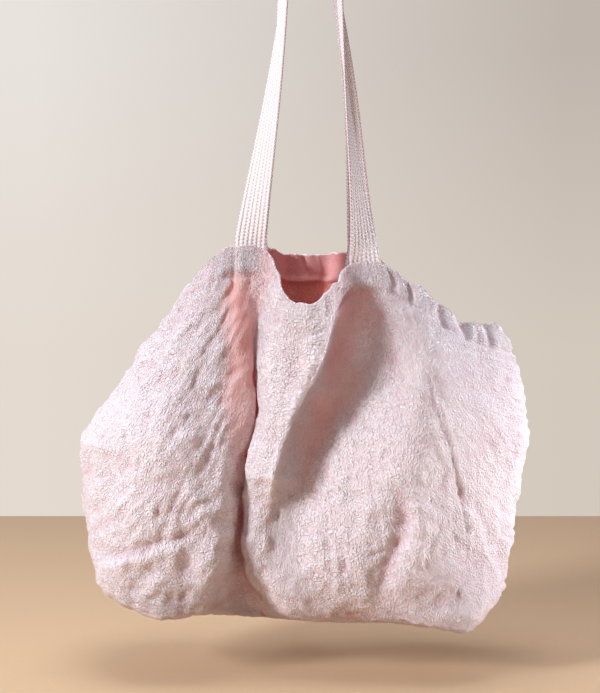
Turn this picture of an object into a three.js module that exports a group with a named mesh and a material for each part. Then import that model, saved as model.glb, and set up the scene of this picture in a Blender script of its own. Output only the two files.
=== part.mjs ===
// A soft boxed tote bag of crinkled cloth, hung by its two webbing handles.
// Millimetres, +Z up. The front of the bag faces -Y and its left side is at -X.
// The origin is the place where both handle loops rest on what the bag hangs from.
import * as THREE from "three";

// Bag body, as it hangs
const BODY_WIDTH = 450; // left to right, at the belly
const BODY_DEPTH = 180; // front to back, at the belly
const BODY_HEIGHT = 380; // from the rim at the straps down to the lowest corner
const BASE_SAG = 10; // how far the middle of the base hangs under its corners
const CLOTH_THICKNESS = 1.2;
const HEM_WIDTH = 30; // turned in along the rim
const SEAM_ALLOWANCE = 10; // width of the folded edges inside each seam
const SEAM_THICKNESS = 2.4; // both edges of a seam, sewn together
const SEAM_END_GAP = 4; // room between the ends of two seams that meet

// Webbing handles
const HANDLE_RISE = 345; // from the rim at the straps up to the inside top of the loop
const WEBBING_WIDTH = 30;
const WEBBING_THICKNESS = 2;
const TAIL_INSET = 4; // the tail ends this far above the hem's stitch line
const STRAP_SPACING = 112; // between the middles of the two legs of one handle, at the rim
const STRAP_CENTRE = -3; // the middle between the legs, right of the origin
const HINGE_RISE = 6; // the webbing bends this far above the rim
const BAR_RADIUS = 17; // inside radius of the loop's top
const HANDLE_PITCH = 34; // from the middle of one handle to the other, along the bar
const BAR_TURN = 10; // degrees that the loops are turned about the vertical
const TWIST_END = 0.75; // share of the leg over which the webbing makes its quarter turn
const TWIST_EASE = 0.55; // under 1 puts most of the turn near the rim

// Fits
const TOUCH_GAP = 0.3; // between faces that lie on each other
const SHARPEST_FOLD = 0.4; // least cosine from a fold's outward direction to its faces

// Fineness of the mesh
const COLUMNS_PER_GUIDE = 3;
const PLAIN_ROWS = 10; // rows of cloth from the hem to the foot
const LEG_STEPS = 20;
const LOOP_STEPS = 12;

const halfWidth = BODY_WIDTH / 2;
const halfDepth = BODY_DEPTH / 2;
const rimLine = -HANDLE_RISE;
const strapX = { left: STRAP_CENTRE - STRAP_SPACING / 2, right: STRAP_CENTRE + STRAP_SPACING / 2 };

// Guide lines of the cloth, from the rim down to the foot, in order round the bag from the left
// side seam along the front. Each holds its name and five places: rim, shoulder, belly, low and
// foot. A place is [across in half widths, forward in half depths]; the rim and the foot also give
// how far down they are from the rim line, in body heights.
const LEVELS_DOWN = [0.26, 0.51, 0.8]; // shoulder, belly and low
const guide = (name, ...places) => ({ name, places });

// A guide that runs down from an edge of a strap, -1 or 1, starts exactly at that edge, so its rim
// is only [forward, down].
const strapGuide = (face, side, edge, [forward, down], ...lower) => {
  const across = (strapX[side] + (edge * WEBBING_WIDTH) / 2) / halfWidth;
  return guide(`${face} ${side} strap ${edge}`, [across, forward, down], ...lower);
};

const GUIDES = [
  guide("left side seam",
    [-0.62, -0.62, 0.197], [-0.71, -0.44], [-1.01, -0.11], [-0.97, -0.09], [-0.77, -0.06, 0.955]),
  guide("front left corner",
    [-0.53, -0.02, 0.092], [-0.72, 0.17], [-0.92, 0.54], [-0.9, 0.58], [-0.63, 0.69, 0.96]),
  guide("front left lobe",
    [-0.43, 0.27, 0.024], [-0.52, 0.6], [-0.64, 0.89], [-0.67, 0.89], [-0.44, 0.64, 0.95]),
  strapGuide("front", "left", -1,
    [0.4, -0.005], [-0.33, 0.5], [-0.37, 0.62], [-0.39, 0.66], [-0.36, 0.49, 0.934]),
  strapGuide("front", "left", 1,
    [0.41, 0.003], [-0.25, 0.4], [-0.285, 0.36], [-0.3, 0.28], [-0.28, 0.1, 0.908]),
  guide("front lip",
    [-0.12, 0.69, 0.103], [-0.19, 0.6], [-0.255, 0.6], [-0.28, 0.62], [-0.23, 0.51, 0.926]),
  guide("front notch",
    [0, 0.91, 0.137], [0.02, 0.92], [-0.14, 0.9], [-0.2, 0.89], [-0.15, 0.62, 0.932]),
  guide("front ridge",
    [0.11, 0.73, 0.092], [0.09, 0.66], [-0.09, 0.7], [-0.13, 0.82], [-0.04, 0.69, 0.939]),
  strapGuide("front", "right", -1,
    [0.42, 0.042], [0.26, 0.38], [0.02, 0.5], [-0.05, 0.77], [0.08, 0.69, 0.942]),
  strapGuide("front", "right", 1,
    [0.4, 0.037], [0.36, 0.48], [0.16, 0.68], [0.16, 0.86], [0.22, 0.69, 0.945]),
  guide("front right lobe",
    [0.46, 0.38, 0.087], [0.5, 0.72], [0.44, 0.97], [0.46, 0.93], [0.44, 0.71, 0.961]),
  guide("front right corner",
    [0.66, 0.22, 0.171], [0.7, 0.49], [0.73, 0.71], [0.72, 0.67], [0.65, 0.78, 0.979]),
  guide("right side seam",
    [0.84, -0.09, 0.208], [0.89, -0.04], [0.98, 0], [0.93, 0], [0.77, 0, 0.976]),
  guide("back right corner",
    [0.66, -0.67, 0.18], [0.73, -0.64], [0.83, -0.67], [0.8, -0.64], [0.62, -0.76, 0.961]),
  guide("back right lobe",
    [0.47, -0.67, 0.1], [0.49, -0.73], [0.53, -0.98], [0.53, -0.93], [0.41, -0.69, 0.945]),
  strapGuide("back", "right", 1,
    [-0.38, 0.018], [0.28, -0.58], [0.27, -0.8], [0.27, -0.84], [0.22, -0.67, 0.934]),
  strapGuide("back", "right", -1,
    [-0.33, 0.013], [0.13, -0.38], [0.12, -0.51], [0.11, -0.56], [0.08, -0.53, 0.929]),
  guide("back fold, right",
    [0.05, -0.88, 0.018], [0.04, -0.85], [0.03, -0.84], [0.02, -0.87], [0, -0.66, 0.932]),
  guide("back fold, left",
    [-0.1, -0.9, 0.018], [-0.1, -0.87], [-0.09, -0.86], [-0.09, -0.88], [-0.08, -0.68, 0.934]),
  strapGuide("back", "left", 1,
    [-0.33, 0], [-0.19, -0.42], [-0.17, -0.56], [-0.18, -0.6], [-0.17, -0.56, 0.929]),
  strapGuide("back", "left", -1,
    [-0.36, -0.005], [-0.34, -0.56], [-0.34, -0.82], [-0.35, -0.87], [-0.29, -0.67, 0.934]),
  guide("back left lobe",
    [-0.42, -0.86, 0.02], [-0.48, -0.87], [-0.61, -1.02], [-0.61, -0.98], [-0.44, -0.69, 0.945]),
  guide("back left corner",
    [-0.54, -1.03, 0.1], [-0.63, -0.93], [-0.9, -0.8], [-0.87, -0.74], [-0.66, -0.73, 0.95]),
];

const vec = (x, y, z) => new THREE.Vector3(x, y, z);
const columnOf = (name) => GUIDES.findIndex((guide) => guide.name === name) * COLUMNS_PER_GUIDE;

function guideCurve({ places }) {
  const throughs = places.map(([across, forward, down], i) => (
    vec(across * halfWidth, -forward * halfDepth, rimLine - (down ?? LEVELS_DOWN[i - 1]) * BODY_HEIGHT)
  ));
  return new THREE.CatmullRomCurve3(throughs, false, "centripetal");
}

const guideCurves = GUIDES.map(guideCurve);
const COLUMNS = GUIDES.length * COLUMNS_PER_GUIDE;

// Rows of the cloth: the sewn rows lie at lengths in mm from the rim, the rest evenly to the foot.
const tailLength = HEM_WIDTH - TAIL_INSET;
const SEWN_ROWS = [0, tailLength / 2, tailLength, HEM_WIDTH];
const TAIL_ROW = 2;
const HEM_ROW = 3;
const FOOT_ROW = HEM_ROW + PLAIN_ROWS;

function rowShare(curve, row) {
  const length = curve.getLength();
  const hem = SEWN_ROWS[HEM_ROW] / length;
  if (row === FOOT_ROW) return 1;
  return row <= HEM_ROW ? SEWN_ROWS[row] / length : hem + ((1 - hem) * (row - HEM_ROW)) / PLAIN_ROWS;
}

// The wall: a ring of columns for each row, through all the guides.
const wall = [];
for (let row = 0; row <= FOOT_ROW; row += 1) {
  const onGuides = guideCurves.map((curve) => curve.getPointAt(rowShare(curve, row)));
  const ring = new THREE.CatmullRomCurve3(onGuides, true, "centripetal");
  wall.push(Array.from({ length: COLUMNS }, (_, column) => ring.getPoint(column / COLUMNS)));
}

// A sheet is the outer face of one panel: the wall from seam to seam, and half of the base under it.
// Its points keep their wall column and row, so that what is sewn to the panel finds its place.
function baseRows(firstCorner, lastCorner, firstSeam, lastSeam) {
  const foot = wall[FOOT_ROW];
  const at = (column) => foot[(column + COLUMNS) % COLUMNS];
  const depthSteps = firstCorner - firstSeam;
  const along = lastCorner - firstCorner;
  const rows = [];
  for (let step = 1; step <= depthSteps; step += 1) {
    const w = step / depthSteps;
    const startEdge = at(firstCorner - step);
    const endEdge = at(lastCorner + step);
    const row = [];
    for (let i = 0; i <= along; i += 1) {
      const s = i / along;
      const seam = at(firstSeam).clone().lerp(at(lastSeam), s);
      seam.z -= BASE_SAG * Math.sin(Math.PI * s);
      const across = at(firstCorner + i).clone().lerp(seam, w);
      const ends = startEdge.clone().lerp(endEdge, s);
      const corners = at(firstCorner).clone().lerp(at(lastCorner), s);
      corners.lerp(at(firstSeam).clone().lerp(at(lastSeam), s), w);
      row.push(across.add(ends).sub(corners));
    }
    row[0] = startEdge.clone();
    row[along] = endEdge.clone();
    rows.push(row);
  }
  return rows;
}

// Every outer point once, with the faces that share it, so that normals run on over each seam.
const points = wall.flat();
const wallIndex = (column, row) => row * COLUMNS + ((column + COLUMNS) % COLUMNS);

function makeSheet(firstSeam, firstCorner, lastCorner, lastSeam) {
  const faces = [];
  for (let row = 0; row < FOOT_ROW; row += 1) {
    for (let column = firstSeam; column < lastSeam; column += 1) {
      faces.push([wallIndex(column, row), wallIndex(column, row + 1),
        wallIndex(column + 1, row + 1), wallIndex(column + 1, row)]);
    }
  }
  let above = [];
  for (let column = firstCorner; column <= lastCorner; column += 1) {
    above.push(wallIndex(column, FOOT_ROW));
  }
  baseRows(firstCorner, lastCorner, firstSeam, lastSeam).forEach((row, r) => {
    const step = r + 1;
    const indices = row.map((point, i) => {
      if (i === 0) return wallIndex(firstCorner - step, FOOT_ROW);
      if (i === row.length - 1) return wallIndex(lastCorner + step, FOOT_ROW);
      points.push(point);
      return points.length - 1;
    });
    for (let i = 0; i < indices.length - 1; i += 1) {
      faces.push([above[i], indices[i], indices[i + 1], above[i + 1]]);
    }
    above = indices;
  });
  return { firstSeam, lastSeam, faces, seamLine: above };
}

const front = makeSheet(columnOf("left side seam"), columnOf("front left corner"),
  columnOf("front right corner"), columnOf("right side seam"));
const back = makeSheet(columnOf("right side seam"), columnOf("back right corner"),
  columnOf("back left corner"), COLUMNS);

// The outward direction at each point, and how bluntly the cloth folds there: 1 where it is flat,
// less where the faces round the point lean away from that direction.
function outwardNormals() {
  const normals = points.map(() => vec(0, 0, 0));
  const faces = [...front.faces, ...back.faces];
  const faceNormals = faces.map((face) => {
    const [a, b, c, d] = face.map((index) => points[index]);
    return c.clone().sub(a).cross(d.clone().sub(b)).normalize();
  });
  faces.forEach((face, i) => face.forEach((index) => normals[index].add(faceNormals[i])));
  for (const sheet of [front, back]) {
    sheet.seamLine.slice(1, -1).forEach((index) => normals[index].set(0, 0, -1));
  }
  normals.forEach((normal) => normal.normalize());
  const bluntness = normals.map(() => 1);
  faces.forEach((face, i) => face.forEach((index) => {
    const lean = faceNormals[i].dot(normals[index]);
    bluntness[index] = Math.min(bluntness[index], Math.max(lean, SHARPEST_FOLD));
  }));
  return { normals, bluntness };
}
const { normals, bluntness } = outwardNormals();

// The point that lies a depth inside the outer face, measured square to the faces round it.
function inside(index, depth) {
  return points[index].clone().addScaledVector(normals[index], -depth / bluntness[index]);
}

// One closed solid from quads of a sheet: its outer face lies `depth` inside the outer points, its
// inner face a thickness further in. Open edges are walled, and `drawn` edges pull back a little.
function solidFromFaces(faces, depth, thickness, drawn = new Map()) {
  const order = new Map();
  faces.flat().forEach((index) => order.has(index) || order.set(index, order.size));
  const count = order.size;
  const positions = new Float32Array(count * 6);
  const placed = (index, inward) => {
    const point = inside(index, inward);
    return drawn.has(index) ? point.add(drawn.get(index)) : point;
  };
  for (const [index, i] of order) {
    const inward = typeof depth === "function" ? depth(index) : depth;
    placed(index, inward).toArray(positions, i * 3);
    placed(index, inward + thickness).toArray(positions, (count + i) * 3);
  }
  const triangles = [];
  const quad = (a, b, c, d) => triangles.push(a, b, c, a, c, d);
  const edges = new Map();
  for (const face of faces) {
    const [a, b, c, d] = face.map((index) => order.get(index));
    quad(a, b, c, d);
    triangles.push(count + c, count + b, count + a, count + d, count + c, count + a);
    [[a, b], [b, c], [c, d], [d, a]].forEach(([from, to]) => {
      if (edges.has(`${to} ${from}`)) edges.delete(`${to} ${from}`);
      else edges.set(`${from} ${to}`, [from, to]);
    });
  }
  for (const [from, to] of edges.values()) quad(to, from, count + from, count + to);
  const geometry = new THREE.BufferGeometry();
  geometry.setAttribute("position", new THREE.BufferAttribute(positions, 3));
  geometry.setIndex(triangles);
  return geometry;
}

// A panel stops half a gap short of each seam line, so that its neighbour has the other half.
function drawnFromSeams(sheet) {
  const drawn = new Map();
  const pull = (index, direction) => {
    const step = direction.setLength(TOUCH_GAP / 2);
    drawn.set(index, drawn.has(index) ? drawn.get(index).add(step) : step);
  };
  for (let row = 0; row <= FOOT_ROW; row += 1) {
    for (const [edge, next] of [[sheet.firstSeam, 1], [sheet.lastSeam, -1]]) {
      const index = wallIndex(edge, row);
      pull(index, points[wallIndex(edge + next, row)].clone().sub(points[index]));
    }
  }
  sheet.seamLine.forEach((index) => pull(index, vec(0, sheet === front ? -1 : 1, 0)));
  return drawn;
}

const panelGeometry = (sheet) => solidFromFaces(sheet.faces, 0, CLOTH_THICKNESS, drawnFromSeams(sheet));

function wallFaces(firstColumn, lastColumn, firstRow, lastRow) {
  const faces = [];
  for (let row = firstRow; row < lastRow; row += 1) {
    for (let column = firstColumn; column < lastColumn; column += 1) {
      faces.push([wallIndex(column, row), wallIndex(column, row + 1),
        wallIndex(column + 1, row + 1), wallIndex(column + 1, row)]);
    }
  }
  return faces;
}

const STRAPS = ["front left", "front right", "back left", "back right"];
const strapColumns = (strap) => {
  const columns = [-1, 1].map((edge) => columnOf(`${strap} strap ${edge}`));
  return [Math.min(...columns), Math.max(...columns)];
};

// The turned-in layer of the hem steps inward over each tail, which lies between it and the panel.
function hemDepth(index) {
  const column = index % COLUMNS;
  const overTail = STRAPS.some((strap) => {
    const [first, last] = strapColumns(strap);
    return column >= first - 1 && column <= last + 1;
  });
  const flat = CLOTH_THICKNESS + TOUCH_GAP;
  return overTail ? flat + WEBBING_THICKNESS + TOUCH_GAP : flat;
}

function hemGeometry(sheet) {
  const faces = wallFaces(sheet.firstSeam + 1, sheet.lastSeam - 1, 0, HEM_ROW);
  return solidFromFaces(faces, hemDepth, CLOTH_THICKNESS);
}

// A seam: the two sewn edges stand inward from the seam line as one folded strip, clear of both panels.
function seamGeometry(indices, inward, across) {
  const positions = [];
  indices.forEach((index, i) => {
    const blunt = bluntness[index];
    const lean = Math.sqrt(1 - blunt * blunt);
    const start = (CLOTH_THICKNESS + 2 * TOUCH_GAP + (lean * SEAM_THICKNESS) / 2) / blunt;
    for (const [depth, side] of [[0, -1], [0, 1], [SEAM_ALLOWANCE, 1], [SEAM_ALLOWANCE, -1]]) {
      const corner = points[index].clone().addScaledVector(inward[i], start + depth);
      corner.addScaledVector(across[i], (side * SEAM_THICKNESS) / 2);
      positions.push(corner.x, corner.y, corner.z);
    }
  });
  return sweepGeometry(positions, indices.length);
}

// Joins rings of four corners into one closed solid and turns it outward.
function sweepGeometry(positions, count) {
  const triangles = [];
  const quad = (a, b, c, d) => triangles.push(a, b, c, a, c, d);
  for (let i = 0; i < count - 1; i += 1) {
    for (let k = 0; k < 4; k += 1) {
      const next = (k + 1) % 4;
      quad(i * 4 + k, i * 4 + next, (i + 1) * 4 + next, (i + 1) * 4 + k);
    }
  }
  quad(3, 2, 1, 0);
  const last = (count - 1) * 4;
  quad(last, last + 1, last + 2, last + 3);
  const geometry = new THREE.BufferGeometry();
  geometry.setAttribute("position", new THREE.Float32BufferAttribute(positions, 3));
  geometry.setIndex(volumeOf(positions, triangles) < 0 ? triangles.reverse() : triangles);
  return geometry;
}

function volumeOf(positions, triangles) {
  const at = (index) => vec(positions[index * 3], positions[index * 3 + 1], positions[index * 3 + 2]);
  let volume = 0;
  for (let i = 0; i < triangles.length; i += 3) {
    volume += at(triangles[i]).dot(at(triangles[i + 1]).cross(at(triangles[i + 2])));
  }
  return volume / 6;
}

const inwardAt = (index) => normals[index].clone().negate();

// The direction across a seam at each of its points, square to the way it runs.
function acrossSeam(indices, inward) {
  return indices.map((_, i) => {
    const before = points[indices[Math.max(i - 1, 0)]];
    const after = points[indices[Math.min(i + 1, indices.length - 1)]];
    return after.clone().sub(before).normalize().cross(inward[i]).normalize();
  });
}

function sideSeamGeometry(column) {
  const indices = [];
  for (let row = 0; row < FOOT_ROW; row += 1) indices.push(wallIndex(column, row));
  const inward = indices.map(inwardAt);
  return seamGeometry(indices, inward, acrossSeam(indices, inward));
}

// The seam across a boxed corner, from the front corner over the side seam's foot to the back one.
function cornerSeamGeometry(seamColumn) {
  const indices = [];
  for (let step = -COLUMNS_PER_GUIDE; step <= COLUMNS_PER_GUIDE; step += 1) {
    indices.push(wallIndex(seamColumn + step, FOOT_ROW));
  }
  const inward = indices.map(inwardAt);
  return seamGeometry(indices, inward, acrossSeam(indices, inward));
}

function bottomSeamGeometry() {
  const room = SEAM_ALLOWANCE + SEAM_THICKNESS + SEAM_END_GAP;
  const ends = [front.seamLine[0], front.seamLine.at(-1)];
  const indices = front.seamLine.filter((index) => (
    ends.every((end) => points[end].distanceTo(points[index]) > room)
  ));
  return seamGeometry(indices, indices.map(() => vec(0, 0, 1)), indices.map(() => vec(0, 1, 0)));
}

// The straps. Each leg leaves the rim between two guides and bends on a line just above it.
const SIDES = { front: -1, back: 1 };

function strapEdges(face, side) {
  const columns = strapColumns(`${face} ${side}`);
  return columns.map((column) => wallIndex(column, 0)).sort((a, b) => points[a].x - points[b].x);
}

// The middle of the webbing where it bends, above the rim.
function strapFoot(face, side) {
  const depth = CLOTH_THICKNESS + TOUCH_GAP + WEBBING_THICKNESS / 2;
  const [left, right] = strapEdges(face, side).map((index) => inside(index, depth));
  return left.add(right).multiplyScalar(0.5).add(vec(0, 0, HINGE_RISE));
}

function hinge(face) {
  const left = strapFoot(face, "left");
  const right = strapFoot(face, "right");
  return { left, right, axis: right.clone().sub(left).normalize() };
}

// The loops hang on a level bar: the direction along it, and the one square to it, to the right.
const barTurn = THREE.MathUtils.degToRad(BAR_TURN);
const bar = vec(Math.sin(barTurn), -Math.cos(barTurn), 0);
const sideways = vec(-bar.y, bar.x, 0);

// Stations of one handle: a middle point, the direction across the webbing's width and its face.
function handleStations(face) {
  const { left, right, axis } = hinge(face);
  const facing = SIDES[face];
  const radius = BAR_RADIUS + WEBBING_THICKNESS / 2;
  const centre = bar.clone().multiplyScalar((-facing * HANDLE_PITCH) / 2).add(vec(0, 0, -BAR_RADIUS));
  const onLoop = (angle) => centre.clone()
    .addScaledVector(sideways, -Math.cos(angle) * radius)
    .add(vec(0, 0, Math.sin(angle) * radius));
  const inner = bar.clone().multiplyScalar(-facing);
  const stations = [];
  for (const [foot, end, turn] of [[left, onLoop(0), 1], [right, onLoop(Math.PI), -1]]) {
    const leg = [];
    const along = end.clone().sub(foot).normalize();
    for (let i = 0; i < LEG_STEPS; i += 1) {
      const share = i / LEG_STEPS;
      const turned = Math.min(1, share / TWIST_END) ** TWIST_EASE;
      const start = axis.clone().multiplyScalar(turn);
      const middle = foot.clone().lerp(end, share);
      const width = slerp(start, inner, turned);
      if (i > 0) width.addScaledVector(along, -width.dot(along)).normalize();
      leg.push({ middle, width, face: along.clone().cross(width).normalize().multiplyScalar(turn) });
    }
    stations.push(leg);
  }
  const loop = [];
  for (let i = 0; i <= LOOP_STEPS; i += 1) {
    const angle = (Math.PI * i) / LOOP_STEPS;
    const outward = onLoop(angle).sub(centre).normalize();
    loop.push({ middle: onLoop(angle), width: inner.clone(), face: outward });
  }
  return [...stations[0], ...loop, ...stations[1].reverse()];
}

// The direction that lies a share of the way from one direction to another.
function slerp(from, to, share) {
  const angle = from.angleTo(to);
  const a = Math.sin((1 - share) * angle);
  const b = Math.sin(share * angle);
  return from.clone().multiplyScalar(a).addScaledVector(to, b).normalize();
}

function handleGeometry(face) {
  const stations = handleStations(face);
  const positions = [];
  let facing = null;
  for (const station of stations) {
    const side = station.face.clone().normalize();
    if (facing && side.dot(facing) < 0) side.negate();
    facing = side;
    for (const [w, t] of [[-1, -1], [1, -1], [1, 1], [-1, 1]]) {
      const corner = station.middle.clone()
        .addScaledVector(station.width, (w * WEBBING_WIDTH) / 2)
        .addScaledVector(side, (t * WEBBING_THICKNESS) / 2);
      positions.push(corner.x, corner.y, corner.z);
    }
  }
  return sweepGeometry(positions, stations.length);
}

// A tail: the end of the webbing, from just under the bend down between panel and hem.
function tailGeometry(strap) {
  const [face, side] = strap.split(" ");
  const { axis } = hinge(face);
  const top = strapFoot(face, side).add(vec(0, 0, -TOUCH_GAP));
  const [first, last] = strapColumns(strap);
  const depth = CLOTH_THICKNESS + TOUCH_GAP;
  const towardRight = points[wallIndex(last, 0)].x > points[wallIndex(first, 0)].x;
  const along = towardRight ? axis : axis.clone().negate();
  const standing = [];
  for (let column = first; column <= last; column += 1) {
    const share = (column - first) / (last - first) - 0.5;
    const normal = normals[wallIndex(column, 0)].clone().setZ(0).normalize();
    const point = top.clone().addScaledVector(along, share * WEBBING_WIDTH);
    points.push(point.addScaledVector(normal, depth + WEBBING_THICKNESS / 2));
    normals.push(normal);
    bluntness.push(1);
    standing.push(points.length - 1);
  }
  const faces = wallFaces(first, last, 0, TAIL_ROW);
  for (let i = 0; i < standing.length - 1; i += 1) {
    faces.push([standing[i], wallIndex(first + i, 0), wallIndex(first + i + 1, 0), standing[i + 1]]);
  }
  return solidFromFaces(faces, depth, WEBBING_THICKNESS);
}

// Colours and surfaces
const ROUGHNESS = 0.95;
const OUTER_CLOTH = "#e0cfd5";
const INNER_CLOTH = "#b98a80";
const WEBBING = "#eee6e6";

const bag = new THREE.Group();
function add(name, geometry, color) {
  geometry.computeVertexNormals();
  const material = new THREE.MeshStandardMaterial({ color, roughness: ROUGHNESS, metalness: 0 });
  const mesh = new THREE.Mesh(geometry, material);
  mesh.name = name;
  bag.add(mesh);
}

add("front_panel", panelGeometry(front), OUTER_CLOTH);
add("back_panel", panelGeometry(back), OUTER_CLOTH);
add("front_hem", hemGeometry(front), INNER_CLOTH);
add("back_hem", hemGeometry(back), INNER_CLOTH);
add("left_side_seam", sideSeamGeometry(front.firstSeam), INNER_CLOTH);
add("right_side_seam", sideSeamGeometry(front.lastSeam), INNER_CLOTH);
add("left_corner_seam", cornerSeamGeometry(front.firstSeam), INNER_CLOTH);
add("right_corner_seam", cornerSeamGeometry(front.lastSeam), INNER_CLOTH);
add("bottom_seam", bottomSeamGeometry(), INNER_CLOTH);
STRAPS.forEach((strap) => add(`${strap.replace(" ", "_")}_tail`, tailGeometry(strap), WEBBING));
add("front_handle", handleGeometry("front"), WEBBING);
add("back_handle", handleGeometry("back"), WEBBING);

export default bag;
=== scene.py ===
import math

import bmesh
import bpy
import numpy as np
from mathutils import Matrix, Vector, noise


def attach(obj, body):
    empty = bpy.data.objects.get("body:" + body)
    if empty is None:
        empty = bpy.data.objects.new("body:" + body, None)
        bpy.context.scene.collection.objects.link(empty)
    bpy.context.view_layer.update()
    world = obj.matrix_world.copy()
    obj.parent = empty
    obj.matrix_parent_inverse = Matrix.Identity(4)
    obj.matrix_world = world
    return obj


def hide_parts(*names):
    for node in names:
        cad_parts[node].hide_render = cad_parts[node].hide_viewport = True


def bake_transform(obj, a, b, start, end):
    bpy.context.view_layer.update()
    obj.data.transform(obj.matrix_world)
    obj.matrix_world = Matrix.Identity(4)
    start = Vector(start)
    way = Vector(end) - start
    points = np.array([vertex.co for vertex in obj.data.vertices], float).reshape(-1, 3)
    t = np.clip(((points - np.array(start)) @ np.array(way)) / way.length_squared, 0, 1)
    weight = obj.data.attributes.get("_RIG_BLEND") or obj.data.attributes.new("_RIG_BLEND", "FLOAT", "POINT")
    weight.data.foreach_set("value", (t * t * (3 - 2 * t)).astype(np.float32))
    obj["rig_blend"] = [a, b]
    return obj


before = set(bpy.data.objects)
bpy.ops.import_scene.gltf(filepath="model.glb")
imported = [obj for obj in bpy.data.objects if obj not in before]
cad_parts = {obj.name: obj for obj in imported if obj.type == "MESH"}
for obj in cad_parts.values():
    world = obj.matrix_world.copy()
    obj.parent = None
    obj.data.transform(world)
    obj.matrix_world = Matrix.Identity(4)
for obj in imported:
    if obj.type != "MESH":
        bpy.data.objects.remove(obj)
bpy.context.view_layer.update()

# Sizes of the bag in millimetres, as in the solids
HALF_WIDTH = 225.0
HALF_DEPTH = 90.0
BODY_HEIGHT = 380.0
RIM_LINE = -345.0
BASE_SAG = 10.0
HEM_WIDTH = 30.0
WEBBING_WIDTH = 30.0
WEBBING_THICKNESS = 1.7
BAR_RADIUS = 17.0
HANDLE_PITCH = 34.0
BAR_TURN = math.radians(10)

CLOTH = 1.0  # thickness of one layer
FOLD_RADIUS = 1.35  # of the cloth turned over at the rim
STITCH_INSET = 28.0  # from the rim to the hem's stitch line

HEM_ROWS = 12
WALL_ROWS = 146
CORNER_COLUMNS = 28  # between a side seam and the corner fold beside it
COLUMN_PITCH = 2.75
ARC_SHARE = 1.06  # the curve between two guide lines against the straight way

# Guide lines of the cloth, from the rim down to the foot, in order round the bag: rim [across,
# forward, down], shoulder, belly, low [across, forward] and foot [across, forward, down].
LEVELS_DOWN = (0.26, 0.51, 0.8)
STRAP_X = {"left": -59.0, "right": 53.0}


def strap(side, edge):
    return (STRAP_X[side] + edge * WEBBING_WIDTH / 2) / HALF_WIDTH


GUIDES = (
    ("left side seam",
     (-0.62, -0.62, 0.197), (-0.71, -0.44), (-1.01, -0.11), (-0.97, -0.09), (-0.77, -0.06, 0.955)),
    ("front left corner",
     (-0.53, -0.02, 0.092), (-0.72, 0.17), (-0.92, 0.54), (-0.9, 0.58), (-0.63, 0.69, 0.96)),
    ("front left lobe",
     (-0.43, 0.27, 0.024), (-0.52, 0.6), (-0.64, 0.89), (-0.67, 0.89), (-0.44, 0.64, 0.95)),
    ("strap front left, outer",
     (strap("left", -1), 0.4, -0.005), (-0.33, 0.5), (-0.37, 0.62), (-0.39, 0.66), (-0.36, 0.49, 0.934)),
    ("strap front left, inner",
     (strap("left", 1), 0.41, 0.003), (-0.25, 0.4), (-0.285, 0.36), (-0.3, 0.28), (-0.28, 0.1, 0.908)),
    ("front lip",
     (-0.12, 0.69, 0.103), (-0.19, 0.6), (-0.265, 0.6), (-0.285, 0.62), (-0.24, 0.51, 0.926)),
    ("front notch",
     (0, 0.91, 0.137), (0.02, 0.92), (-0.14, 0.9), (-0.2, 0.89), (-0.15, 0.62, 0.932)),
    ("front ridge",
     (0.11, 0.73, 0.092), (0.09, 0.66), (-0.09, 0.7), (-0.13, 0.82), (-0.04, 0.69, 0.939)),
    ("strap front right, inner",
     (strap("right", -1), 0.42, 0.042), (0.26, 0.38), (0.02, 0.5), (-0.05, 0.77), (0.08, 0.69, 0.942)),
    ("strap front right, outer",
     (strap("right", 1), 0.4, 0.037), (0.36, 0.48), (0.16, 0.68), (0.16, 0.86), (0.22, 0.69, 0.945)),
    ("front right lobe",
     (0.46, 0.38, 0.087), (0.5, 0.72), (0.44, 0.97), (0.46, 0.93), (0.44, 0.71, 0.961)),
    ("front right corner",
     (0.66, 0.22, 0.171), (0.7, 0.49), (0.73, 0.71), (0.72, 0.67), (0.65, 0.78, 0.979)),
    ("right side seam",
     (0.84, -0.09, 0.208), (0.89, -0.04), (0.98, 0), (0.93, 0), (0.77, 0, 0.976)),
    ("back right corner",
     (0.66, -0.67, 0.18), (0.73, -0.64), (0.83, -0.67), (0.8, -0.64), (0.62, -0.76, 0.961)),
    ("back right lobe",
     (0.47, -0.67, 0.1), (0.49, -0.73), (0.53, -0.98), (0.53, -0.93), (0.41, -0.69, 0.945)),
    ("strap back right, outer",
     (strap("right", 1), -0.38, 0.018), (0.28, -0.58), (0.27, -0.8), (0.27, -0.84), (0.22, -0.67, 0.934)),
    ("strap back right, inner",
     (strap("right", -1), -0.33, 0.013), (0.13, -0.38), (0.12, -0.51), (0.11, -0.56),
     (0.08, -0.53, 0.929)),
    ("back fold, right",
     (0.05, -0.88, 0.018), (0.04, -0.85), (0.03, -0.84), (0.02, -0.87), (0, -0.66, 0.932)),
    ("back fold, left",
     (-0.1, -0.9, 0.018), (-0.1, -0.87), (-0.09, -0.86), (-0.09, -0.88), (-0.08, -0.68, 0.934)),
    ("strap back left, inner",
     (strap("left", 1), -0.33, 0), (-0.19, -0.42), (-0.17, -0.56), (-0.18, -0.6), (-0.17, -0.56, 0.929)),
    ("strap back left, outer",
     (strap("left", -1), -0.36, -0.005), (-0.34, -0.56), (-0.34, -0.82), (-0.35, -0.87),
     (-0.29, -0.67, 0.934)),
    ("back left lobe",
     (-0.42, -0.86, 0.02), (-0.48, -0.87), (-0.61, -1.02), (-0.61, -0.98), (-0.44, -0.69, 0.945)),
    ("back left corner",
     (-0.54, -1.03, 0.1), (-0.63, -0.93), (-0.9, -0.8), (-0.87, -0.74), (-0.66, -0.73, 0.95)),
)
NAMES = [guide[0] for guide in GUIDES]
CORNERS = (
    {"left side seam", "front left corner"},
    {"front right corner", "right side seam"},
    {"right side seam", "back right corner"},
    {"back left corner", "left side seam"},
)

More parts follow.
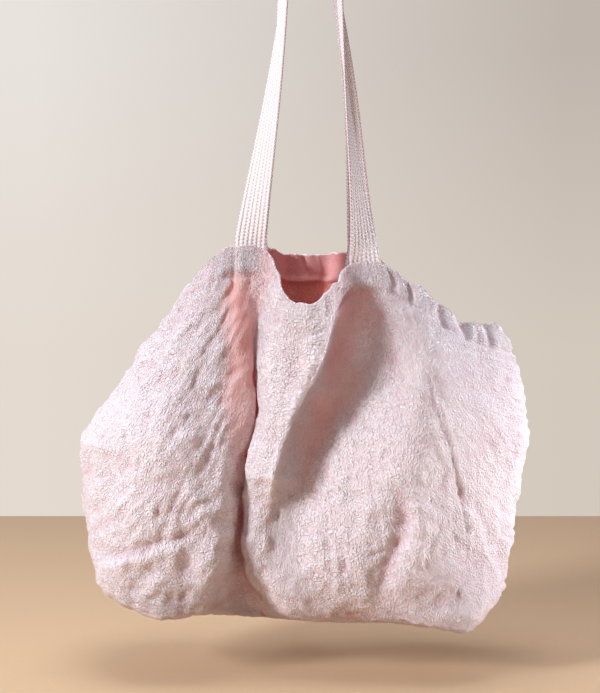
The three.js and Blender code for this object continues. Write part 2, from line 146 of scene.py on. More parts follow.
# The camera: level with the upper bag, tipped a little down, in millimetres and pixels
PICTURE = (600, 693)
TILT = math.radians(4)
CAMERA_DISTANCE = 1600.0
FOCAL = 1610.0
AIM = np.array((-10.4, 0.0, -443.0))
FORWARD = np.array((0.0, math.cos(TILT), -math.sin(TILT)))
UPWARD = np.array((0.0, math.sin(TILT), math.cos(TILT)))
EYE = AIM - FORWARD * CAMERA_DISTANCE


def on_screen(points):
    """Where points in mm appear in the picture, in pixels."""
    seen = points - EYE
    scale = FOCAL / (seen @ FORWARD)
    return np.stack([
        PICTURE[0] / 2 + scale * seen[..., 0], PICTURE[1] / 2 - scale * (seen @ UPWARD)], -1)


# Sums that the shapes share
def unit(vectors):
    """The same directions, each 1 long."""
    return vectors / np.maximum(np.linalg.norm(vectors, axis=-1, keepdims=True), 1e-9)


def bell(x):
    return np.exp(-x * x)


def rise(values, start, reach):
    """0 up to start, then evenly up to 1 over that reach."""
    return np.clip((values - start) / reach, 0, 1)


def read_off(table, places):
    return np.interp(places, list(table), list(table.values()))


def travelled(path):
    """The length of a path up to each of its points."""
    return np.concatenate([[0], np.cumsum(np.linalg.norm(np.diff(path, axis=0), axis=1))])


def along(path, lengths, values=None):
    """Points of a finely sampled path, or values kept at them, at lengths from its start."""
    values = path if values is None else values
    there = travelled(path)
    return np.stack([np.interp(lengths, there, values[:, k]) for k in range(3)], -1)


def through(points, places, closed=False):
    """Centripetal curve through points[..., n, 3], at places counted in points from the first."""
    if closed:
        padded = np.concatenate([points[..., -1:, :], points, points[..., :2, :]], -2)
        last = points.shape[-2] - 1
    else:
        first = 2 * points[..., :1, :] - points[..., 1:2, :]
        beyond = 2 * points[..., -1:, :] - points[..., -2:-1, :]
        padded = np.concatenate([first, points, beyond], -2)
        last = points.shape[-2] - 2
    places = np.asarray(places, float)
    segment = np.clip(np.floor(places).astype(int), 0, last)
    w = (places - segment)[:, None]
    a, b, c, d = (padded[..., segment + k, :] for k in range(4))
    before, here, after = (
        np.maximum(np.linalg.norm(q - p, axis=-1, keepdims=True), 1e-6) ** 0.5
        for p, q in ((a, b), (b, c), (c, d))
    )
    start = ((b - a) / before - (c - a) / (before + here) + (c - b) / here) * here
    end = ((c - b) / here - (d - b) / (here + after) + (d - c) / after) * here
    return (((2 * b - 2 * c + start + end) * w + (3 * c - 3 * b - 2 * start - end)) * w + start) * w + b


def smooth(grid, rows, columns):
    """A grid softened over so many neighbours up and down, and round the ring."""
    for _ in range(rows):
        padded = np.concatenate([grid[:1], grid, grid[-1:]])
        grid = (padded[:-2] + 2 * grid + padded[2:]) / 4
    for _ in range(columns):
        grid = (np.roll(grid, 1, 1) + 2 * grid + np.roll(grid, -1, 1)) / 4
    return grid


def normals_of(grid):
    """Outward directions of the wall."""
    down = np.gradient(grid, axis=0)
    round_ = (np.roll(grid, -1, 1) - np.roll(grid, 1, 1)) / 2
    return unit(np.cross(down, round_))


def wander(grid_u, grid_v, size, seed):
    """Smooth noise from -1 to 1 over the cloth, with that size of patch in mm."""
    flat = [noise.noise((u, v, seed)) for u, v in zip(grid_u.ravel() / size, grid_v.ravel() / size)]
    return np.array(flat).reshape(grid_u.shape)


# The smooth wall
def guide_points():
    placed = []
    for _, rim, shoulder, belly, low, foot in GUIDES:
        between = [(*point, down) for point, down in zip((shoulder, belly, low), LEVELS_DOWN)]
        placed.append([
            (across * HALF_WIDTH, -forward * HALF_DEPTH, RIM_LINE - down * BODY_HEIGHT)
            for across, forward, down in (rim, *between, foot)
        ])
    return np.array(placed)


def lay_wall():
    """The outer face of the whole wall: rows from the rim to the foot, columns right round."""
    fine = through(guide_points(), np.linspace(0, 4, 241))
    lengths = []
    for curve in fine:
        hem = np.linspace(0, HEM_WIDTH, HEM_ROWS + 1)
        plain = np.linspace(HEM_WIDTH, travelled(curve)[-1], WALL_ROWS + 1)[1:]
        lengths.append(np.concatenate([hem, plain]))
    on_guides = np.stack([along(curve, length) for curve, length in zip(fine, lengths)], 1)
    belly = on_guides[len(on_guides) // 2]
    places = []
    marks = []
    for k, name in enumerate(NAMES):
        following = (k + 1) % len(NAMES)
        marks.append(len(places))
        span = np.linalg.norm(belly[following] - belly[k])
        pieces = max(4, round(span * ARC_SHARE / COLUMN_PITCH))
        if {name, NAMES[following]} in CORNERS:
            pieces = CORNER_COLUMNS
        places.extend(k + i / pieces for i in range(pieces))
    return through(on_guides, places, closed=True), marks, np.array(lengths)


# Folds pressed into the cloth. A stroke is its width in pixels, its height in mm, raised if it is
# positive, its kind if it isn't soft, and its path: places across and down the picture in pixels.
STROKE_REACH = 4  # widths away from its path that a stroke is felt


def distance_to(path, places):
    """Distance to a path, how far along it that is from 0 to 1, and the side: 1 is right of it."""
    starts = travelled(path)
    best = np.full(places.shape[:-1], 1e9)
    share = np.zeros(places.shape[:-1])
    side = np.ones(places.shape[:-1])
    for i, step in enumerate(np.diff(path, axis=0)):
        span = np.linalg.norm(step)
        reach = places - path[i]
        t = np.clip((reach @ step) / span ** 2, 0, 1)
        away = np.linalg.norm(reach - t[..., None] * step, axis=-1)
        nearer = away < best
        best = np.where(nearer, away, best)
        share = np.where(nearer, (starts[i] + t * span) / starts[-1], share)
        side = np.where(nearer, np.sign(step[0] * reach[..., 1] - step[1] * reach[..., 0]), side)
    return best, share, -side


def press(places, strokes):
    """Height of all the strokes at places of the picture."""
    height = np.zeros(places.shape[:-1])
    for width, depth, *path in strokes:
        kind = path.pop(0) if isinstance(path[0], str) else "soft"
        path = np.reshape(path, (-1, 2))
        low = np.min(path, 0) - STROKE_REACH * width
        high = np.max(path, 0) + STROKE_REACH * width
        near = np.all((places > low) & (places < high), -1)
        if not near.any():
            continue
        away, share, side = distance_to(path, places[near])
        x = away / width
        if kind == "crease":  # a sharp valley with a soft bank on the right of the path
            profile = np.exp(-1.6 * x) - 0.45 * bell(x * side - 1.7)
        elif kind == "step":  # high on the right of the path
            profile = 0.5 * np.tanh(1.5 * x * side) * np.exp(-0.15 * x * x)
        else:
            profile = bell(x)
        height[near] += depth * profile * np.sin(np.pi * np.clip(share, 0, 1)) ** 0.6
    return height


FRONT_FOLDS = (
    # the cloth pulled up beside the left strap
    (4, -3.5, "crease", 233, 240, 234, 262, 233, 284, 228, 306),
    (5, 2.2, 226, 262, 218, 285, 206, 300),
    (2.5, -1.5, "crease", 187, 298, 205, 289, 222, 279, 232, 270),
    (12, 13.0, 241, 290, 241, 345, 243, 400, 243, 450, 242, 480),
    (7, -1.8, "crease", 232, 330, 205, 352, 176, 384, 150, 408),
    (7, -1.4, "crease", 236, 365, 210, 398, 178, 430, 150, 452),
    (5, -1.3, "crease", 205, 330, 186, 352, 168, 372),
    (7, -1.2, "crease", 243, 420, 215, 452, 190, 486),
    (8, -1.0, 110, 428, 140, 452, 170, 500),
    # lower left folds
    (6, -1.8, 214, 470, 180, 478, 140, 484, 104, 500),
    (5, -1.5, 226, 500, 190, 506, 150, 520, 112, 540),
    (5.5, -4.2, 94, 558, 130, 552, 160, 543, 203, 532),
    (6, 2.8, 95, 568, 133, 561, 165, 552, 210, 538),
    (6, -3.2, 126, 590, 145, 580, 162, 566),
    (5, 2.2, 136, 602, 155, 590, 168, 572),
    (7, -1.6, 104, 452, 112, 480, 104, 520),
    # the lip and the ridges right of it
    (9, 3.0, 290, 306, 278, 340, 271, 385, 264, 430, 258, 480),
    (7, -1.6, 302, 330, 296, 360, 290, 392, 281, 420),
    (5, 2.4, "crease", 340, 298, 328, 321, 316, 355, 303, 390, 292, 417, 284, 445, 273, 476, 268, 505),
    (14, -2.0, 352, 310, 344, 350, 322, 400, 303, 450, 288, 500),
    (12, -10.0, 352, 286, 354, 310, 350, 332, 340, 362, 328, 388),
    (4.5, 4.0, 334, 290, 330, 320, 321, 350, 311, 378),
    (9, 2.0, 386, 318, 380, 345, 368, 385),
    # low down, where the left lobe hangs in front of the lip
    (8, 5.0, 108, 586, 140, 605, 176, 606, 200, 598),
    (8, 4.0, 410, 606, 440, 617, 478, 614, 500, 592),
    (12, 4.0, 220, 310, 219, 350, 221, 400),
    (2.5, -1.3, "crease", 253, 504, 262, 500, 270, 492),
    # creases from the right strap
    (2.2, -0.9, "crease", 348, 339, 356, 332, 364, 325),
    (2.2, -0.9, "crease", 360, 321, 368, 315, 378, 309),
    (3, -1.6, "crease", 404, 305, 408, 316, 411, 327),
    (3, -1.2, "crease", 422, 361, 434, 374, 440, 385),
    (2.4, -2.0, "crease", 428, 371, 434, 397, 440, 416, 446, 438),
    (3, -1.0, "crease", 411, 389, 434, 403, 441, 420),
    (3, -1.3, "crease", 479, 412, 490, 425, 501, 440),
    (3, -1.1, "crease", 470, 392, 478, 386, 484, 376),
    (2.5, -0.9, "crease", 479, 373, 492, 372, 505, 375),
    (9, 1.6, 390, 300, 405, 335, 418, 375, 426, 410),
    (5, -1.2, "crease", 402, 320, 412, 352, 418, 384),
    (7, -1.3, 380, 312, 392, 345, 398, 380, 400, 420),
    # lower right folds
    (9, -8.5, 396, 484, 404, 520, 397, 546, 385, 570, 381, 606),
    (9, 2.6, 372, 500, 366, 540, 352, 570),
    (8, 4.2, 414, 486, 424, 535, 412, 572, 404, 600),
    (6, -2.6, 392, 590, 394, 604, 388, 618),
    (3.5, -1.8, "step", 398, 588, 420, 606, 446, 628),
    (3, -3.8, "crease", 322, 528, 330, 548, 334, 572, 331, 594),
    (3, -3.6, "crease", 336, 522, 341, 545, 345, 566, 343, 590),
    (2.4, -1.9, "crease", 444, 424, 452, 455, 460, 490, 467, 530, 466, 566),
    (3, -2.0, "crease", 352, 560, 372, 556, 390, 548),
    (10, -2.4, 440, 470, 452, 520, 456, 570),
    (5, -1.6, 314, 598, 335, 597, 352, 592, 372, 583),
    (5, -1.8, "crease", 474, 500, 484, 524, 492, 548),
    (6, -1.6, 470, 545, 464, 580, 452, 612),
    (5, 1.6, 488, 560, 482, 590, 468, 615),
    (5, 1.3, 350, 545, 358, 565, 356, 585),
    # gathers of the two lower corners
    (3, -2.2, "crease", 436, 596, 454, 610, 470, 630),
    (3, -2.0, "crease", 454, 580, 464, 604, 472, 628),
    (3, -2.2, "crease", 494, 584, 484, 606, 474, 628),
    (3, -1.8, "crease", 422, 612, 444, 620, 466, 632),
    (5, 3.0, 462, 618, 470, 626, 474, 634),
    (3, -2.0, "crease", 128, 598, 146, 606, 164, 612),
    (3, -1.8, "crease", 146, 588, 156, 598, 164, 612),
    (3, -2.0, "crease", 186, 592, 176, 602, 166, 612),
    (4, 2.4, 155, 606, 163, 612, 170, 618),
)

# Low down the left lobe hangs in front of the lip: how far each stretch stands forward, in mm
FRONT_SWELLS = (
    (20, 7.5, 198, 430, 201, 500, 203, 560, 196, 604),
    (27, 6.0, 229, 376, 232, 450, 231, 540, 226, 640),
    (13, 7.0, 222, 392, 226, 450, 226, 500, 220, 540, 214, 580, 208, 620),
    (24, -27.0, 268, 480, 266, 540, 263, 614),
    (6, -9.0, 243, 476, 242, 505, 240, 530, 238, 560, 236, 606),
    (30, 3.0, 480, 490, 487, 560, 482, 640),
)

# Puckers where the hem's stitches draw the cloth in
PUCKER_DEPTH = 1.4  # times the depths below
FRONT_PUCKERS = (
    (3.6, -3.0, 389, 268, 396, 282, 394, 297),
    (3.8, -3.6, 407, 279, 412, 292, 415, 307),
    (3.0, -2.2, 428, 297, 432, 305, 435, 314),
    (3.8, -3.6, 437, 303, 442, 316, 450, 330),
    (4.0, -3.8, 458, 315, 464, 326, 470, 340),
    (4.6, -5.0, 484, 318, 491, 332, 494, 350),
    (3.0, -1.8, 476, 322, 479, 334, 480, 346),
    (3.0, -2.6, 325, 288, 327, 300, 325, 318),
    (3.0, -1.8, 316, 300, 314, 316, 308, 330),
    (3.2, -2.8, 335, 276, 338, 292, 334, 314),
    (3.0, -2.4, 346, 268, 345, 284, 341, 300),
    (2.6, -1.8, 271, 254, 268, 270, 272, 288),
    (2.6, -2.0, 280, 262, 275, 276, 277, 294),
    (3.2, -1.8, 210, 250, 208, 266, 202, 284),
    (3.2, -1.6, 196, 262, 190, 280, 183, 300),
    (3.2, -1.6, 222, 243, 219, 258, 216, 274),
)

# Valleys painted with shade and pink bounce light, kept off cloth that faces the light on the left. The
# second number is how strongly each is painted.
FRONT_VALLEY_SHADE = (
    (17, 25, 236, 268, 236, 300, 239, 340, 240, 380, 239, 430, 239, 480),
    (12, -24, 243, 478, 240, 530, 236, 606),
    (10, 8, 236, 268, 238, 300, 245, 330),
    (20, 4, 345, 300, 352, 330, 345, 360, 332, 400, 318, 440, 304, 480),
)

# Folds of the back, with places in mm across and up
BACK_FOLDS = (
    (8, -3.0, "crease", -74, -350, -92, -400, -124, -470),
    (10, -3.5, -44, -352, -30, -420, -22, -520, -30, -640),
    (8, -2.6, "crease", 68, -358, 92, -410, 128, -480),
    (10, -3.0, 38, -356, 24, -420, 14, -520, 22, -640),
    (10, 2.2, -100, -372, -140, -450, -176, -520),
    (10, 2.0, 110, -380, 150, -460, 178, -540),
    (12, 2.2, -2, -372, -6, -450, 0, -560),
    (7, -3.2, -196, -640, -150, -626, -96, -636),
    (7, -3.0, 190, -650, 140, -632, 84, -642),
    (9, -2.6, -60, -560, -76, -610, -70, -670),
    (9, -2.6, 62, -540, 74, -600, 66, -668),
    (6, -1.8, "crease", -150, -520, -120, -560, -110, -610),
    (6, -1.8, "crease", 150, -500, 128, -548, 116, -600),
    (8, 2.0, -20, -600, 4, -640, 8, -690),
    (4, 7.0, -10, -338, -7, -356, -2, -378),
    (4, 6.5, 3, -338, 6, -356, 12, -378),
    (5, 5.0, 24, -340, 26, -358, 28, -378),
    (4, -4.0, 14, -338, 16, -356, 19, -374),
)

# The edge that the right side seam makes, with short gathers across it
SEAM_EDGE = (
    (489, 345), (505, 362), (517, 385), (525, 412), (523, 450), (519, 500), (512, 550), (505, 590))

# How far the sides stand off the smooth guide lines, in mm across at heights of the picture
LEFT_SIDE = {285: 0, 300: 2, 324: 3, 348: -2, 372: 3, 400: 5, 420: 1, 444: -3, 468: 5, 500: 5,
             530: 6, 552: 1, 576: -5, 592: -8, 615: 0}
RIGHT_SIDE = {300: 0, 440: -1, 456: -5, 480: -11, 528: -12, 545: -8, 564: -9, 576: -4, 590: 0,
              640: 0}
# How far the front rim stands above them, in mm at places across the picture
FRONT_RIM = {262: 0, 272: -1, 280: 2, 286: -2, 292: -3, 304: 0, 316: 1, 330: 2, 340: 0, 352: 0,
             384: 0, 400: -3, 425: -2, 447: -5, 468: -4, 485: 1, 496: 5, 506: 0}
# How far the front foot of the wall stands above them
FRONT_FOOT = {100: -4, 115: -8, 130: -9, 145: -2, 160: 4, 175: 7, 190: 8, 205: 11, 220: 12,
              235: 12, 250: 9, 265: 4, 285: 0, 445: 2, 475: -1, 490: 0, 505: -8}
# How far the back rim stands above them, at places in mm across
BACK_RIM = {60: 0, 78: -6, 95: -9, 115: -7, 130: -9, 155: -11, 175: -4}

# The lip's left edge on the picture, the reach of its nudge, and how far it goes right in mm
LIP_EDGE = (249, 414)
LIP_EDGE_REACH = (17, 34)
LIP_EDGE_SHIFT = 8
RIM_REACH = 32  # how far down the lift of the rim is felt, in mm
FOOT_REACH = 45  # and how far up that of the foot


def seam_gathers(seed, count):
    chance = np.random.default_rng(seed)
    edge = np.array(SEAM_EDGE, float)
    strokes = []
    for place in np.linspace(0, len(edge) - 1.01, count) + chance.uniform(-0.14, 0.14, count):
        place = max(place, 0)
        at = edge[int(place)] + (edge[int(place) + 1] - edge[int(place)]) * (place % 1)
        angle = math.radians(chance.uniform(150, 215))
        way = np.array((math.cos(angle), -math.sin(angle)))
        length = chance.uniform(8, 20)
        path = at, at + way * length / 2, at + way * length + (0, chance.uniform(-3, 3))
        strokes.append((
            chance.uniform(1.8, 3.0), -chance.uniform(0.6, 2.0), "crease", *np.ravel(path)))
    return strokes


def random_creases(seed, box, pulls, count=190):
    """Short creases that run away from where the straps pull the cloth up, some across them."""
    chance = np.random.default_rng(seed)
    strokes = []
    while len(strokes) < count:
        middle = chance.uniform(box[0], box[1])
        pull = np.array(min(pulls, key=lambda p: abs(p[0] - middle[0])), float)
        reach = middle - pull
        angle = math.atan2(reach[1], reach[0]) + chance.normal(0, 0.32)
        if chance.random() < 0.22:
            angle += chance.choice((-1, 1)) * chance.uniform(0.6, 1.4)
        length = chance.uniform(14, 46)
        turn = chance.normal(0, 0.22)
        heading = np.array((math.cos(angle), math.sin(angle)))
        bent = np.array((math.cos(angle + turn), math.sin(angle + turn)))
        path = (middle - heading * length / 2, middle, middle + bent * length / 2)
        depth = -chance.uniform(0.25, 1.0) * chance.choice((1, 1, -0.7))
        strokes.append((chance.uniform(1.8, 4.2), depth, "crease", *np.ravel(path)))
    return strokes


def fit_outline(ring, rows_down, to_foot):
    """Moves the sides, lip, rims and foot of the smooth wall by the lists above."""
    screen = on_screen(ring)
    across, back = ring[..., 0], ring[..., 1]
    moved = ring.copy()
    for side, sign in ((LEFT_SIDE, -1), (RIGHT_SIDE, 1)):
        reach = rise(sign * (across + 5) / 220, 0.45, 0.45)
        moved[..., 0] += smooth(read_off(side, screen[..., 1]) * reach * reach * (3 - 2 * reach), 6, 6)
    off_edge = (screen - LIP_EDGE) / LIP_EDGE_REACH
    moved[..., 0] += LIP_EDGE_SHIFT * bell(off_edge[..., 0]) * bell(off_edge[..., 1]) * (back < 0)
    lift = read_off(FRONT_RIM, screen[..., 0]) * (back < 0) + read_off(BACK_RIM, across) * (back > 10)
    moved[..., 2] += smooth(lift * bell(rows_down / RIM_REACH), 0, 3)
    lift = read_off(FRONT_FOOT, screen[..., 0]) * rise(-back, 0, 25)
    moved[..., 2] += smooth(lift * bell(to_foot / FOOT_REACH), 0, 3)
    return moved


def shape_wall():
    """The wall with its folds, seams and puckers, and what is known of each of its points."""
    ring, marks, lengths = lay_wall()
    count = ring.shape[1]
    mark = dict(zip(NAMES, marks))
    guide = np.interp(np.arange(count), marks + [count], range(len(marks) + 1))
    per_guide = np.concatenate([lengths, lengths[:1]])
    rows_down = np.stack([np.interp(guide, range(len(marks) + 1), row) for row in per_guide.T])
    to_foot = rows_down[-1] - rows_down
    middle = ring[len(ring) // 2]
    round_ = travelled(np.concatenate([middle, middle[:1]]))
    round_, total = round_[:-1], round_[-1]
    grid_u = np.broadcast_to(round_, rows_down.shape)

    ring = fit_outline(ring, rows_down, to_foot)
    screen = on_screen(ring)
    across, back, up = (ring[..., k] for k in range(3))  # the side seams lie near 0 mm back
    ring[..., 1] -= press(screen, FRONT_SWELLS) * (back < -10)
    out = normals_of(smooth(ring, 4, 4))
    below_hem = rise(rows_down, 24, 12)
    facing = np.clip(-(out @ FORWARD) * 1.6, 0, 1) * (back < 20)
    scatter = random_creases(7, box=((85, 285), (525, 615)), pulls=((250, 235), (364, 250)))
    height = (press(screen, FRONT_FOLDS) + press(screen, scatter) * below_hem) * facing
    height += press(screen, seam_gathers(11, 24)) * (back < 20)

    flat = ring[..., (0, 2)]
    behind = np.clip(out[..., 1] * 1.6, 0, 1) * (back > -20)
    scatter = random_creases(19, box=((-215, -700), (215, -385)), pulls=((-59, -335), (53, -335)))
    height += (press(flat, BACK_FOLDS) + press(flat, scatter) * below_hem) * behind

    # Hem: a soft raised band, drawn in at the stitch line, with puckers
    band = np.sin(np.pi * np.clip(rows_down / STITCH_INSET, 0, 1)) ** 0.7
    height += 1.3 * band - 1.7 * bell((rows_down - STITCH_INSET) / 2.6)
    gathers = bell((rows_down - STITCH_INSET) / 9.0) + 0.55 * bell((rows_down - 8) / 10.0)
    ripple = wander(grid_u, rows_down * 0.25, 9.0, 3.5)
    ripple += 0.5 * wander(grid_u, rows_down * 0.3, 4.5, 8.5)
    held = np.ones(count)
    for name in NAMES:
        if name.startswith("strap"):
            held *= 1 - 0.75 * bell((round_ - round_[mark[name]]) / 16.0)
    height += ripple * gathers * 2.3 * held * np.where(back > 0, 1, 0.6)
    height += PUCKER_DEPTH * press(screen, FRONT_PUCKERS) * (back < 0)

    # Side seams: a narrow valley, gathered a little along its length
    gathers = 2.4 * wander(grid_u * 0.35, rows_down, 8.0, 5.1)
    for name in ("left side seam", "right side seam"):
        gap = np.abs(round_ - round_[mark[name]])
        gap = np.minimum(gap, total - gap)
        height += gathers * bell(gap / 17.0) - 1.8 * bell(gap / 2.2)

    # Ridges that run away from the straps, highest low down and left, and broad swells
    round_strap, from_strap = pull_lines(ring)
    drawn = 0.85 - 1.6 * np.abs(wander(round_strap, from_strap * 0.3, 17.0, 2.3))
    drawn -= 1.1 * np.abs(wander(round_strap, from_strap * 0.35, 9.0, 6.1))
    strong = 0.9 + 1.9 * rise(-across, 30, 50) + 1.7 * rise(-up, 560, 60)
    height += strong * drawn * rise(rows_down, 22, 20)
    height -= (2 + 8 * rise(-np.abs(across + 10), -85, 25)) * rise(-to_foot, -32, 32) ** 2
    height += 2.2 * wander(grid_u, rows_down, 62.0, 4.4) * rise(rows_down, 10, 50)

    wall = ring + out * height[..., None]
    wobble = 2.6 * wander(grid_u, rows_down * 0.2, 11.0, 1.2)
    wobble += 1.7 * wander(grid_u, rows_down * 0.2, 5.5, 6.6)
    wall[..., 2] += wobble * held * bell(rows_down / 14)
    # Painted shade and pink bounce light in the valleys, only where the cloth stands back and doesn't face
    # the light on the left
    painted_valleys = press(screen, FRONT_VALLEY_SHADE) * facing * rise(back, -74, 14)
    painted_valleys *= np.clip(1 + 3 * normals_of(smooth(ring, 2, 2))[..., 0], 0, 1)
    return wall, out, mark, grid_u, rows_down, to_foot, painted_valleys


def pull_lines(wall):
    """Places of the cloth counted round and away from the two straps that it hangs by, in mm."""
    below = -325 - wall[..., 2]
    left, right = (wall[..., 0] - STRAP_X[side] for side in ("left", "right"))
    turn = np.arctan2(left, below) + np.arctan2(right, below)
    return turn * 110, (np.hypot(left, below) + np.hypot(right, below)) / 2


def describe_cloth():
    """The outer face of the cloth and what the panels keep at each of its points."""
    wall, out, mark, grid_u, rows_down, to_foot, painted_valleys = shape_wall()
    # How far each point lies below the cloth round it: over about 12 mm, and over 60 mm. Both set painted
    # shade in the cloth's colour, in its hollows and its valleys.
    near, far = (((smooth(wall, reach, reach) - wall) * out).sum(-1) for reach in (10, 160))
    round_strap, from_strap = pull_lines(wall)
    return {
        "wall": wall, "out": normals_of(smooth(wall, 2, 2)), "mark": mark, "across": grid_u,
        "down": rows_down, "hollow_shade": near, "valley_shade": np.minimum(far, 8) + painted_valleys, "fold": to_foot,
        "round_strap": round_strap, "from_strap": from_strap,
    }


def lay_base(wall, turn):
    """Half of the base: rows from the foot between two corners to the straight bottom seam."""
    first_seam, first_corner, last_corner, last_seam = turn
    foot = wall[-1]
    count = len(foot)
    columns = np.arange(first_corner, last_corner + 1) % count
    s = np.linspace(0, 1, len(columns))[:, None]

    def between(first, last):
        return foot[first % count] * (1 - s) + foot[last % count] * s

    seam = between(first_seam, last_seam)
    sag = np.zeros_like(seam)
    sag[:, 2] = (BASE_SAG * np.sin(np.pi * s))[:, 0]
    rows = [foot[columns]]
    for step in range(1, CORNER_COLUMNS + 1):
        w = step / CORNER_COLUMNS
        ends = between(first_corner - step, last_corner + step)
        row = (foot[columns] - between(first_corner, last_corner)) * (1 - w) - sag * w + ends
        row[0], row[-1] = ends[0], ends[-1]
        rows.append(row)
    return np.stack(rows)


# Building meshes
def rgb(code):
    """A colour written in sRGB hex, as the linear values that Blender takes."""
    values = [int(code[i:i + 2], 16) / 255 for i in (1, 3, 5)]
    return [v / 12.92 if v <= 0.04045 else ((v + 0.055) / 1.055) ** 2.4 for v in values] + [1.0]


def add_grid(mesh, places, facts=None):
    """A grid in a bmesh, moved onto places[row][column] in mm, with facts kept at its points."""
    rows, columns = places.shape[:2]
    made = bmesh.ops.create_grid(mesh, x_segments=columns - 1, y_segments=rows - 1, size=1)
    layers = {name: mesh.verts.layers.float[name] for name in (facts or {})}
    for vert in made["verts"]:
        column = round((vert.co.x + 1) / 2 * (columns - 1))
        row = round((vert.co.y + 1) / 2 * (rows - 1))
        vert.co = Vector(places[row, column]) / 1000
        for name, layer in layers.items():
            vert[layer] = facts[name][row, column]


def add_uv(mesh, name, across, down):
    """A UV map in metres from two lengths in mm kept at each point."""
    uv = mesh.loops.layers.uv.new(name)
    across = mesh.verts.layers.float[across]
    down = mesh.verts.layers.float[down]
    for face in mesh.faces:
        for loop in face.loops:
            loop[uv].uv = (loop.vert[across] / 1000, loop.vert[down] / 1000)


def add_object(name, data):
    made = bpy.data.objects.new(name, data)
    bpy.context.scene.collection.objects.link(made)
    return made


def from_mesh(name, mesh, materials):
    """An object from a bmesh, which it uses up."""
    data = bpy.data.meshes.new(name)
    mesh.to_mesh(data)
    mesh.free()
    for material in materials:
        data.materials.append(material)
    return add_object(name, data)


def finish_piece(name, mesh, materials, body):
    piece = from_mesh(name, mesh, materials)
    piece.data.polygons.foreach_set("use_smooth", [True] * len(piece.data.polygons))
    if body:
        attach(piece, body)
    return piece


def thicken(piece, name, thickness, offset):
    layer = piece.modifiers.new(name, "SOLIDIFY")
    layer.thickness = thickness / 1000
    layer.offset = offset
    return layer


# The panels
FACTS = ("across", "down", "hollow_shade", "valley_shade", "fold", "round_strap", "from_strap")
BASE_REACH = 75  # from the foot to the bottom seam, in mm
BASE_LENGTH = 345
BASE_FADE = 20  # over which the painted shade of the wall's hollows and valleys fades out on the base
RIM_STEPS = 8  # rows of the cloth over the rim
HEM_INSIDE_SHADE = 22  # how strongly the hem's turned-in layer is painted with the valleys' shade and pink bounce colour


def turned_rim(outer, out):
    """Rows of the cloth from the inner edge of the hem up and over the rim, then down the outside."""
    tangent = unit(outer[1] - outer[0])
    top = outer[0] + (tangent - out[0]) * FOLD_RADIUS
    over = [
        top - out[0] * math.cos(a) * FOLD_RADIUS - tangent * math.sin(a) * FOLD_RADIUS
        for a in np.linspace(0, math.pi, RIM_STEPS)
    ]
    hem = outer[HEM_ROWS:1:-1] - out[HEM_ROWS:1:-1] * (2 * FOLD_RADIUS)
    return np.concatenate([hem, np.stack(over), outer[2:]])


def turned_fact(values):
    return np.concatenate([values[HEM_ROWS:1:-1], values[:1].repeat(RIM_STEPS, 0), values[2:]])


def make_panel(name, cloth, turn, materials):
    first_seam, first_corner, last_corner, last_seam = turn
    wall = cloth["wall"]
    count = wall.shape[1]
    columns = np.arange(first_seam, last_seam + 1)
    around = columns % count
    facts = {key: cloth[key][:, around].copy() for key in FACTS}
    facts["across"][:, columns >= count] += cloth["across"][0, -1] + COLUMN_PITCH
    rows = {key: turned_fact(value) for key, value in facts.items()}
    rows["down"][:HEM_ROWS - 1] *= -1
    # The hem's turned-in layer is painted with the valleys' shade and pink bounce colour
    rows["valley_shade"][:HEM_ROWS] = HEM_INSIDE_SHADE

    mesh = bmesh.new()
    for fact in FACTS:
        mesh.verts.layers.float.new(fact)
    add_grid(mesh, turned_rim(wall[:, around], cloth["out"][:, around]), rows)

    base = lay_base(wall, turn)
    edge = slice(first_corner - first_seam, last_corner - first_seam + 1)
    depth = np.linspace(0, BASE_REACH, len(base))[:, None] + np.zeros(base.shape[:2])
    end_gap = np.linspace(0, BASE_LENGTH, base.shape[1])
    under = {key: facts[key][-1, edge] + np.zeros(base.shape[:2]) for key in FACTS}
    for key in ("down", "from_strap"):
        under[key] += depth
    for key in ("hollow_shade", "valley_shade"):
        under[key] *= np.exp(-depth / BASE_FADE)
    under["fold"] = np.minimum(depth, np.minimum(end_gap, end_gap[::-1]))
    add_grid(mesh, base, under)
    bmesh.ops.remove_doubles(mesh, verts=mesh.verts, dist=2e-5)
    bmesh.ops.reverse_faces(mesh, faces=mesh.faces)
    soften_fold(mesh)
    crumple(mesh)
    add_uv(mesh, "cloth", "across", "down")
    add_uv(mesh, "pull", "round_strap", "from_strap")
    piece = finish_piece(name, mesh, materials, "bag")
    # The inner face takes the second material, the copy of the cloth painted with the interior's shade
    thicken(piece, "cloth thickness", CLOTH, -1).material_offset = 1
    return piece


def soften_fold(mesh):
    """Rounds the fold from the wall to the base, most at the fold itself."""
    fold = mesh.verts.layers.float["fold"]
    for reach in (34, 22, 12):
        verts = [vert for vert in mesh.verts if vert[fold] < reach and not vert.is_boundary]
        for _ in range(16):
            bmesh.ops.smooth_vert(
                mesh, verts=verts, factor=0.5, use_axis_x=True, use_axis_y=True, use_axis_z=True)


CRUMPLES = ((26.0, 1.0, 1.7), (13.0, 0.75, 5.3), (7.0, 0.42, 9.2))  # size, height in mm, seed


def crumple(mesh):
    """Low broken ridges of washed cloth at three sizes, kept small on the hem and where the right
    lobe hangs smooth."""
    mesh.normal_update()
    down = mesh.verts.layers.float["down"]
    hollow_shade = mesh.verts.layers.float["hollow_shade"]
    raised = []
    for vert in mesh.verts:
        place = vert.co * 1000
        height = 0.0
        for size, depth, seed in CRUMPLES:
            height += depth * (0.55 - abs(noise.noise(place / size + Vector((0, 0, seed)))) * 2.6)
        height *= min(max((vert[down] - 18) / 16, 0.25), 1)
        height *= 1 - 0.6 * math.exp(-((place.x - 120) / 85) ** 2 - ((place.z + 480) / 90) ** 2)
        raised.append(height)
    for vert, height in zip(mesh.verts, raised):
        vert.co += vert.normal * (height / 1000)
        # Where the crumples rise the painted shade of the hollows lessens, and where they sink it grows
        vert[hollow_shade] -= height * 0.6


